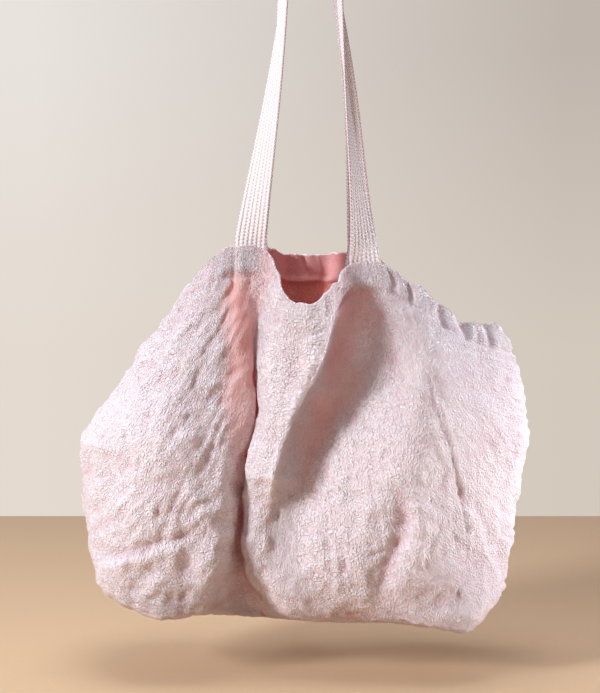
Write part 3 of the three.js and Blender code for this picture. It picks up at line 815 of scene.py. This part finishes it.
# Webbing
STRAP_FEET = {  # where each leg leaves the rim, in mm
    "front": ((-58.3, -32.7, -338.6), (52.3, -33.3, -354.2)),
    "back": ((-59.0, 27.7, -338.3), (52.8, 28.3, -345.1)),
}
WALES = 7
RIB_POINTS = 6
LEG_ROWS = 310
LOOP_ROWS = 56
BRAID_PITCH = 3.4  # of the slanted yarns along each rope
TAIL_DEPTH = 2 * FOLD_RADIUS + 0.25 + WEBBING_THICKNESS / 2
BAR = np.array((math.sin(BAR_TURN), -math.cos(BAR_TURN), 0))
SIDEWAYS = np.array((-BAR[1], BAR[0], 0))
TWIST_END = 0.75  # share of the way up at which a leg has turned to lie on the bar
TWIST_EASE = {"left": 0.55, "right": 0.38}  # the lower, the sooner it turns
BEND_REACH = 5  # to each side of the hinge line, in mm


def turned(start, end, share):
    angle = math.acos(float(np.clip(start @ end, -1, 1)))
    return unit(start * math.sin((1 - share) * angle) + end * math.sin(share * angle))


def strap_ends(cloth, face, side):
    return sorted(cloth["mark"][f"strap {face} {side}, {edge}"] for edge in ("outer", "inner"))


def tail_rows(cloth, face, side):
    """Rows of middle points and directions of a sewn tail, from its end up to the rim."""
    ends = strap_ends(cloth, face, side)
    columns = np.linspace(*ends, 2 * WALES + 1)
    if cloth["wall"][0, ends[0], 0] > cloth["wall"][0, ends[1], 0]:
        columns = columns[::-1]
    low = np.floor(columns).astype(int)
    part = (columns - low)[:, None]
    outward = smooth(cloth["out"], 2, 6)
    rows = []
    for row in range(HEM_ROWS - 2, -1, -1):
        normal, place = (
            grid[row][low] * (1 - part) + grid[row][low + 1] * part
            for grid in (outward, cloth["wall"]))
        normal = unit(normal)
        rows.append((place - normal * TAIL_DEPTH, normal if face == "front" else -normal))
    return rows


def webbing_rows(cloth, face):
    """Rows across the whole webbing: tail, leg, loop, leg and tail."""
    facing = -1 if face == "front" else 1
    left, right = (np.array(foot) for foot in STRAP_FEET[face])
    axis = unit(right - left)
    radius = BAR_RADIUS + 1
    centre = BAR * (-facing * HANDLE_PITCH / 2) + np.array((0, 0, -BAR_RADIUS))
    inner = -facing * BAR
    spread = np.linspace(-0.5, 0.5, 2 * WALES + 1)[:, None] * WEBBING_WIDTH

    def on_loop(angle):
        return centre - SIDEWAYS * math.cos(angle) * radius + np.array((0, 0, math.sin(angle) * radius))

    def row_across(middle, width, way):
        return middle + spread * width, np.broadcast_to(unit(way), (len(spread), 3))

    legs = []
    for side, foot, angle, turn in (("left", left, 0, 1), ("right", right, math.pi, -1)):
        end = on_loop(angle)
        travel = unit(end - foot)
        bow = -9 if face == "back" and side == "right" else 5
        rows = []
        for share in np.linspace(0, 1, LEG_ROWS + 1)[:-1]:
            eased = min(1, share / TWIST_END)
            eased = eased * eased / (eased + 0.02 * (1 - eased))
            width = turned(axis * turn, inner, eased ** TWIST_EASE[side])
            width = unit(width - travel * (width @ travel)) if share else width
            out_by = bow * math.sin(math.pi * share) ** 2 * turn * 0.5
            middle = foot * (1 - share) + end * share + SIDEWAYS * out_by
            rows.append(row_across(middle, width, np.cross(width, travel * turn)))
        legs.append(rows)
    loop = [
        row_across(on_loop(a), inner, on_loop(a) - centre) for a in np.linspace(0, math.pi, LOOP_ROWS)]
    first = tail_rows(cloth, face, "left")
    last = [(place[::-1], way[::-1]) for place, way in tail_rows(cloth, face, "right")]
    return first + legs[0] + loop + legs[1][::-1] + last[::-1]


def rib_height(x, turns):
    """Height of the webbing's face at x wales from its edge, turns of the yarns along it."""
    wale = np.minimum(np.floor(x), WALES - 1)
    slant = 0.5 * np.where(wale % 2 == 0, 1, -1) * (x - wale)
    yarn = np.sin(2 * np.pi * (turns + slant + 0.5 * (wale % 2)))
    rib = np.sin(np.pi * x) ** 2 * (0.34 + 0.12 * yarn)
    edge = np.minimum(x, WALES - x)
    return rib - 0.2 + 0.25 * (edge < 1) - np.maximum(0, 0.16 - edge) * 3.5


def make_webbing(name, cloth, face, material):
    middles, ways = (np.array(values) for values in zip(*webbing_rows(cloth, face)))
    # The bend at the rim is eased over a few rows on both sides of it
    for _ in range(12):
        for values in (middles, ways):
            values[1:-1] = (values[:-2] + 2 * values[1:-1] + values[2:]) / 4
    x = np.linspace(0, WALES, WALES * RIB_POINTS + 1)
    fine = np.linspace(0, 2 * WALES, len(x))
    middle = through(middles, fine)
    way = through(unit(ways), fine)
    down = travelled(middles[:, WALES])[:, None]
    turns = down / BRAID_PITCH
    height = rib_height(x[None, :], turns)[..., None] + WEBBING_THICKNESS / 2
    # The outer yarns stand out a little at each turn
    width_way = unit(middle[:, -1] - middle[:, 0])
    at_edge = np.clip(np.abs(x / WALES - 0.5) * 14 - 6, 0, 1) * np.sign(x - WALES / 2)
    scallop = 0.3 * np.sin(2 * np.pi * turns) * at_edge
    middle = middle + width_way[:, None, :] * scallop[..., None]
    section = np.concatenate([middle + way * height, (middle - way * height)[:, ::-1]], 1)
    section = np.concatenate([section, section[:, :1]], 1)
    across = np.concatenate([x, x[::-1], x[:1]])
    facts = {
        "across": np.broadcast_to(across, section.shape[:2]),
        "down": np.broadcast_to(down, section.shape[:2]),
    }
    mesh = bmesh.new()
    for fact in facts:
        mesh.verts.layers.float.new(fact)
    add_grid(mesh, section, facts)
    add_uv(mesh, "webbing", "across", "down")
    bmesh.ops.remove_doubles(mesh, verts=mesh.verts, dist=1e-6)
    bmesh.ops.holes_fill(mesh, edges=[edge for edge in mesh.edges if edge.is_boundary], sides=0)
    bmesh.ops.recalc_face_normals(mesh, faces=mesh.faces)
    piece = finish_piece(name, mesh, [material], None)
    left, right = (np.array(foot) for foot in STRAP_FEET[face])
    axis = unit(right - left)
    reach = unit(np.array((0, 0, 1)) - axis * axis[2]) * BEND_REACH
    start = Vector((left + right) / 2 - reach) / 1000
    end = Vector((left + right) / 2 + reach) / 1000
    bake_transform(piece, "bag", f"{face}_handle", start=start, end=end)
    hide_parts(f"{face}_handle", f"{face}_left_tail", f"{face}_right_tail")
    return piece


# Seams inside, where the sewn edges stand in from the seam line
SEAM_STANDS = (1.1, 10.5)  # from the wall's outer face, in mm
SEAM_THICKNESS = 2.1  # of both edges together


def make_seam(name, points, inward, material, node):
    grid = []
    for i, (point, way) in enumerate(zip(points, inward)):
        beside = unit(np.cross(way, points[min(i + 1, len(points) - 1)] - points[max(i - 1, 0)]))
        lean = beside * noise.noise(Vector(point) / 14) * 0.22
        grid.append([point + (way + lean) * depth for depth in np.linspace(*SEAM_STANDS, 6)])
    mesh = bmesh.new()
    add_grid(mesh, np.array(grid))
    piece = finish_piece(name, mesh, [material], "bag")
    thicken(piece, "both edges", SEAM_THICKNESS, 0)
    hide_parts(node)
    return piece


# Sewing thread: short stitches along a path on the cloth
def add_stitches(mesh, path, out, length=2.7, pitch=3.6, radius=0.36):
    for start in np.arange(0.4, travelled(path)[-1] - length, pitch):
        a, b = along(path, start), along(path, start + length)
        way = along(path, start + length / 2, out)
        along_way = Vector(unit(b - a))
        beside = along_way.cross(Vector(unit(way))).normalized()
        up = beside.cross(along_way)
        turn = Matrix((along_way, beside, up)).transposed().to_4x4()
        middle = Matrix.Translation(Vector((a + b) / 2 + way * radius * 0.5) / 1000)
        size = Matrix.Diagonal((length / 2000, radius / 1000, radius / 1000, 1))
        bmesh.ops.create_icosphere(mesh, subdivisions=1, radius=1, matrix=middle @ turn @ size)


# Materials
def add_node(tree, kind, inputs=None, **settings):
    """Adds a node with its settings. Each input is a value, or the output that it is linked to."""
    made = tree.nodes.new("ShaderNode" + kind)
    for name, value in settings.items():
        setattr(made, name, value)
    for name, value in (inputs or {}).items():
        if isinstance(value, bpy.types.NodeSocket):
            tree.links.new(value, made.inputs[name])
        else:
            made.inputs[name].default_value = value
    return made


def compute(tree, operation, *values, **settings):
    inputs = dict(enumerate(values))
    return add_node(tree, "Math", inputs, operation=operation, **settings).outputs[0]


def spread_out(tree, value, low, high, to_low=0.0, to_high=1.0, **settings):
    """A value between low and high scaled to between to_low and to_high, and held there beyond."""
    return add_node(tree, "MapRange", {
        "Value": value, "From Min": low, "From Max": high, "To Min": to_low, "To Max": to_high,
    }, **settings).outputs[0]


def cloth_noise(tree, place, scale, detail, **inputs):
    """Patches over a UV map in metres: scale is how many a metre, or how many each way."""
    if isinstance(scale, tuple):
        place = add_node(tree, "Mapping", {"Vector": place, "Scale": (*scale, 1.0)}).outputs[0]
        scale = 1.0
    return add_node(tree, "TexNoise", {
        "Vector": place, "Scale": scale, "Detail": detail, **inputs,
    }, noise_dimensions="2D").outputs["Fac"]


def grain_noise(tree, scale, detail):
    place = add_node(tree, "TexCoord").outputs["Object"]
    return add_node(tree, "TexNoise", {
        "Vector": place, "Scale": scale, "Detail": detail}).outputs["Fac"]


def blend_colours(tree, share, first, second):
    return add_node(tree, "Mix", {0: share, 6: first, 7: second}, data_type="RGBA").outputs[2]


def ramp(tree, factor, *stops):
    made = add_node(tree, "ValToRGB", {"Fac": factor})
    while len(made.color_ramp.elements) < len(stops):
        made.color_ramp.elements.new(1.0)
    for element, (place, colour) in zip(made.color_ramp.elements, stops):
        element.position = place
        element.color = colour
    return made.outputs["Color"]


def bump_of(tree, height, distance, strength):
    return add_node(tree, "Bump", {
        "Strength": strength, "Distance": distance, "Height": height}).outputs["Normal"]


def matt_cover(tree, colour, roughness, specular=0.25, **inputs):
    return add_node(tree, "BsdfPrincipled", {
        "Base Color": colour, "Roughness": roughness, "Specular IOR Level": specular, **inputs,
    }).outputs[0]


def new_material(name):
    material = bpy.data.materials.new(name)
    material.use_nodes = True
    material.node_tree.nodes.clear()
    return material, material.node_tree


def washed_cloth(name, pale, shade_tint, valley_bounce_pink, glow, thin, sheen):
    """Stonewashed cotton and linen, coloured by garment dyeing. Matt and a little fuzzy, and thin enough for
    light to come through. Its colour holds painted shade: paler where it stands proud, deeper pink in the
    hollows of its crepe and folds, and painted pink bounce light in its valleys."""
    material, tree = new_material(name)
    cloth, pull = (add_node(tree, "UVMap", uv_map=uv).outputs["UV"] for uv in ("cloth", "pull"))
    hollow_shade, valley_shade = (
        add_node(tree, "Attribute", attribute_name=fact).outputs["Fac"]
        for fact in ("hollow_shade", "valley_shade"))
    # Crepe of washed cloth: thin creases between rounded bumps about 3 mm apart
    crepe = cloth_noise(tree, cloth, 300.0, 1.5, Roughness=0.6, Distortion=0.3)
    crepe = compute(tree, "ABSOLUTE", compute(tree, "SUBTRACT", crepe, 0.5))
    # Fine creases 2.5 mm apart that run away from the straps, 9 mm long
    drawn = cloth_noise(tree, pull, (400.0, 110.0), 2.5, Roughness=0.55, Distortion=0.6)
    # Uneven yarn: threads 0.8 mm apart both ways, drawn coarser than the real 0.4 mm so they show
    yarn = compute(tree, "MAXIMUM", *(
        cloth_noise(tree, cloth, scale, 1.0) for scale in ((1250.0, 160.0), (160.0, 1250.0))))
    blotch = cloth_noise(tree, cloth, 28.0, 3.0)
    relief = compute(tree, "MULTIPLY_ADD", crepe, 2.3, compute(tree, "MULTIPLY", drawn, 0.6))
    relief = compute(tree, "MULTIPLY_ADD", yarn, 0.35, relief)

    # Painted shade: the colour goes from pale to the shade tint in the hollows of the crepe and of the
    # folds, and is paler on their ridges. Wide patches vary the tone at random.
    low = spread_out(tree, relief, 0.75, 0.28)
    fold = spread_out(tree, hollow_shade, -1.2, 2.8, -0.16, 0.36)
    valley = spread_out(tree, valley_shade, 2.0, 22.0, 0.0, 0.9)
    patch = spread_out(tree, blotch, 0.3, 0.7, -0.1, 0.1)
    shade_and_tone = compute(tree, "ADD", compute(tree, "ADD", low, fold), patch, use_clamp=True)
    shaded_tone = ramp(tree, shade_and_tone, (0.0, rgb(pale)), (1.0, rgb(shade_tint)))
    # Painted pink bounce light and shade in the valleys
    colour = blend_colours(tree, valley, shaded_tone, rgb(valley_bounce_pink))

    # The crepe is strongest below the rim, where the straps draw the cloth up, and weak in valleys
    from_strap = add_node(tree, "SeparateXYZ", {0: pull}).outputs["Y"]
    raised = compute(tree, "MULTIPLY", relief, spread_out(tree, from_strap, 0.15, 0.25, 1.3, 0.92))
    bump = bump_of(tree, raised, 0.0021, spread_out(tree, valley, 0.1, 0.8, 1.0, 0.35))
    cover = matt_cover(tree, colour, 0.93, Normal=bump, **{
        "Sheen Weight": sheen, "Sheen Roughness": 0.4, "Sheen Tint": rgb("#fbf3f4")})
    through_light = add_node(tree, "BsdfTranslucent", {"Color": rgb(glow), "Normal": bump}).outputs[0]
    # More light comes through the cloth in the painted valleys, which brightens them
    clear = compute(tree, "MULTIPLY_ADD", valley, 0.4, thin)
    mixed = add_node(tree, "MixShader", {0: clear, 1: cover, 2: through_light}).outputs[0]
    add_node(tree, "OutputMaterial", {"Surface": mixed})
    return material


def cotton_webbing():
    """Thick cotton webbing in seven ropes side by side, each with slanted yarns 3.4 mm apart. Matt and
    off-white, with painted shade: darker and pinker between the ropes and between the yarns, lighter on the
    yarns' tops."""
    material, tree = new_material("cotton_webbing")
    place = add_node(tree, "UVMap", uv_map="webbing").outputs["UV"]
    split = add_node(tree, "SeparateXYZ", {0: place})
    wale = compute(tree, "MULTIPLY", split.outputs["X"], 1000.0)
    turns = compute(tree, "MULTIPLY", split.outputs["Y"], 1000.0 / BRAID_PITCH)
    # The line between two ropes runs in a zigzag with the yarns
    bend = compute(tree, "SINE", compute(tree, "MULTIPLY", turns, 2 * math.pi))
    between = compute(tree, "PINGPONG", compute(tree, "MULTIPLY_ADD", bend, 0.13, wale), 0.5)
    rope = spread_out(tree, between, 0.02, 0.3, interpolation_type="SMOOTHSTEP")
    slant = compute(tree, "PINGPONG", wale, 1.0)
    yarn = compute(tree, "MULTIPLY", compute(tree, "MULTIPLY_ADD", slant, 0.6, turns), 2 * math.pi)
    yarn = compute(tree, "SINE", yarn)
    rope = compute(tree, "MAXIMUM", rope, spread_out(tree, yarn, -1.0, 1.0, 0.0, 0.45))
    # Painted shade: darker and pinker between the ropes and yarns, lighter on their tops
    light = compute(tree, "MULTIPLY", spread_out(tree, yarn, -1.0, 1.0, 0.7, 1.0), rope)
    colour = ramp(tree, light, (0.0, rgb("#dcc3c2")), (0.4, rgb("#e2d5d6")), (1.0, rgb("#eae3e5")))
    height = compute(tree, "MULTIPLY_ADD", yarn, 0.35, rope)
    height = compute(tree, "MULTIPLY_ADD", grain_noise(tree, 1400.0, 2.0), 0.5, height)
    cover = matt_cover(tree, colour, 0.9, Normal=bump_of(tree, height, 0.0006, 0.9), **{
        "Sheen Weight": 0.2, "Sheen Roughness": 0.4})
    add_node(tree, "OutputMaterial", {"Surface": cover})
    return material


def plain_matt(name, colour, grain):
    """A dull surface with a fine grain: cotton thread or painted board."""
    material, tree = new_material(name)
    base = rgb(colour)
    darker = [value * 0.97 for value in base[:3]] + [1.0]
    shade = ramp(tree, grain_noise(tree, grain, 4.0), (0.35, darker), (0.65, base))
    add_node(tree, "OutputMaterial", {"Surface": matt_cover(tree, shade, 0.95, 0.2)})
    return material


# The bag
cloth = describe_cloth()
wall, mark = cloth["wall"], cloth["mark"]
# Each cloth's second colour is painted shade in the hollows, and its third is painted pink bounce light and
# shade in the valleys
outside = washed_cloth("washed_cloth", "#fffbff", "#ecccd5", "#ffd8d2", "#ffbcb8", 0.2, 0.15)
# The inside copy of the cloth is coloured deeper salmon all over: painted shade and pink bounce light of the
# bag's interior, also used on the seams
inside = washed_cloth("washed_cloth_inside", "#ffdcd2", "#f6bcb0", "#f6a89c", "#ffb8a8", 0.64, 0.1)
webbing = cotton_webbing()
thread = plain_matt("cotton_thread", "#e9cfce", 900.0)

left_seam, right_seam = mark["left side seam"], mark["right side seam"]
whole_turn = wall.shape[1]
front_turn = left_seam, mark["front left corner"], mark["front right corner"], right_seam
back_turn = right_seam, mark["back right corner"], mark["back left corner"], left_seam + whole_turn
front_cloth = make_panel("front_cloth", cloth, front_turn, [outside, inside])
back_cloth = make_panel("back_cloth", cloth, back_turn, [outside, inside])
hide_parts("front_panel", "front_hem")
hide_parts("back_panel", "back_hem")

straps = {
    face: make_webbing(f"{face}_webbing", cloth, face, webbing) for face in ("front", "back")
}

# Seams
END_GAP = 8  # columns of the bottom seam that its ends leave free
smooth_out = normals_of(smooth(wall, 8, 8))
for side, column in (("left", left_seam), ("right", right_seam)):
    rows = slice(0, len(wall) - 4, 3)
    make_seam(
        f"{side}_side_seam_edges", wall[rows, column], -smooth_out[rows, column],
        inside, f"{side}_side_seam")
    columns = np.arange(column - CORNER_COLUMNS + 1, column + CORNER_COLUMNS) % whole_turn
    inward = unit(np.array((0, 0, 0.9)) - smooth_out[-1, columns])
    make_seam(
        f"{side}_corner_seam_edges", wall[-1, columns] + inward * 2.5, inward,
        inside, f"{side}_corner_seam")
base_line = lay_base(wall, front_turn)[-1][END_GAP:-END_GAP]
make_seam(
    "bottom_seam_edges", base_line, np.broadcast_to((0.0, 0.0, 1.0), base_line.shape),
    inside, "bottom_seam")

# Thread: a line along each hem, and a box where each strap end is sewn in
stitch_row = STITCH_INSET / HEM_WIDTH * HEM_ROWS
low, part = int(stitch_row), stitch_row % 1
box_rows = range(2, HEM_ROWS - 1)
for face, (first, *_, last) in (("front", front_turn), ("back", back_turn)):
    mesh = bmesh.new()
    columns = np.arange(first + 2, last - 1) % whole_turn
    path = wall[low, columns] * (1 - part) + wall[low + 1, columns] * part
    add_stitches(mesh, path, cloth["out"][low, columns])
    for side in ("left", "right"):
        ends = strap_ends(cloth, face, side)
        across = np.arange(ends[0] + 1, ends[1])
        box = [(box_rows[0], c) for c in across] + [(r, across[-1]) for r in box_rows]
        box += [(box_rows[-1], c) for c in across[::-1]] + [(r, across[0]) for r in reversed(box_rows)]
        box = tuple(zip(*box))
        add_stitches(mesh, wall[box], cloth["out"][box], length=2.2, pitch=3.0)
    finish_piece(f"{face}_stitching", mesh, [thread], "bag")

# Studio: a sand-coloured board below, a pale wall far behind, a large soft light on the left, and
# weaker ones from the right and above
FLOOR_DOWN = -765.0
FLOOR_REACH = 2500.0
FLOOR_EDGE = 860.0  # the board's far edge, in mm behind the bag, which the photo shows as a line
VIEW_ACROSS = 0.16  # directions at the sides of the picture, and at its foot and top
VIEW_UP = (-0.07, 0.11)


def make_floor():
    mesh = bmesh.new()
    add_grid(mesh, np.array([
        [(x, y, FLOOR_DOWN) for x in (-FLOOR_REACH, FLOOR_REACH)] for y in (-FLOOR_REACH, FLOOR_EDGE)]))
    from_mesh("floor", mesh, [plain_matt("sand_board", "#cfb18f", 420.0)])


def make_world():
    """A pale wall far behind, seen only by the camera, with painted shade: darker towards the right, most at
    the upper right, where the light falls off. And an even fill light that is stronger from the wall's side."""
    world = bpy.data.worlds.new("studio")
    world.use_nodes = True
    tree = world.node_tree
    tree.nodes.clear()
    way = add_node(tree, "TexCoord").outputs["Generated"]
    way = add_node(tree, "SeparateXYZ", {0: way}).outputs
    across = spread_out(tree, way["X"], -VIEW_ACROSS, VIEW_ACROSS)
    up = spread_out(tree, way["Z"], *VIEW_UP)
    # Painted shade on the wall: darker to the right and most at the upper right
    left = blend_colours(tree, up, rgb("#e4dad0"), rgb("#e9e3de"))
    right = blend_colours(tree, up, rgb("#d4c9bd"), rgb("#c0b6ad"))
    wall_colour = blend_colours(tree, across, left, right)
    seen = add_node(tree, "Background", {"Color": wall_colour, "Strength": 1.0})
    bounced = spread_out(tree, way["Y"], 0.1, 0.5, 0.31, 0.7)
    fill = add_node(tree, "Background", {"Color": rgb("#f7f4fb"), "Strength": bounced})
    camera_ray = add_node(tree, "LightPath").outputs["Is Camera Ray"]
    mixed = add_node(tree, "MixShader", {
        0: camera_ray, 1: fill.outputs[0], 2: seen.outputs[0]})
    add_node(tree, "OutputWorld", {"Surface": mixed.outputs[0]})
    bpy.context.scene.world = world


def add_light(name, place, target, size, power, colour, spread=180):
    lamp = bpy.data.lights.new(name, "AREA")
    lamp.shape = "RECTANGLE"
    lamp.size, lamp.size_y = size
    lamp.energy = power
    lamp.color = rgb(colour)[:3]
    lamp.spread = math.radians(spread)
    made = add_object(name, lamp)
    made.location = place
    made.rotation_euler = (Vector(target) - Vector(place)).to_track_quat("-Z", "Y").to_euler()


make_floor()
make_world()
add_light("key_light", (-2.3, -1.53, 0.55), (0, 0, -0.5), (0.6, 0.8), 92, "#f6f8ff")
add_light("right_light", (1.5, 0.08, -0.6), (0.16, 0, -0.56), (0.5, 0.4), 1.25, "#f6f8ff", 22)
add_light("top_light", (-0.1, -0.1, 1.25), (-0.05, -0.05, -0.7), (0.8, 0.8), 4.0, "#f8f9ff", 90)
bpy.context.scene.view_settings.view_transform = "Standard"

lens = bpy.data.cameras.new("camera")
lens.sensor_fit = "HORIZONTAL"
lens.sensor_width = 36
lens.lens = FOCAL * lens.sensor_width / PICTURE[0]
lens.clip_end = 20
camera = add_object("camera", lens)
camera.location = Vector(EYE) / 1000
camera.rotation_euler = (math.pi / 2 - TILT, 0, 0)
bpy.context.scene.camera = camera
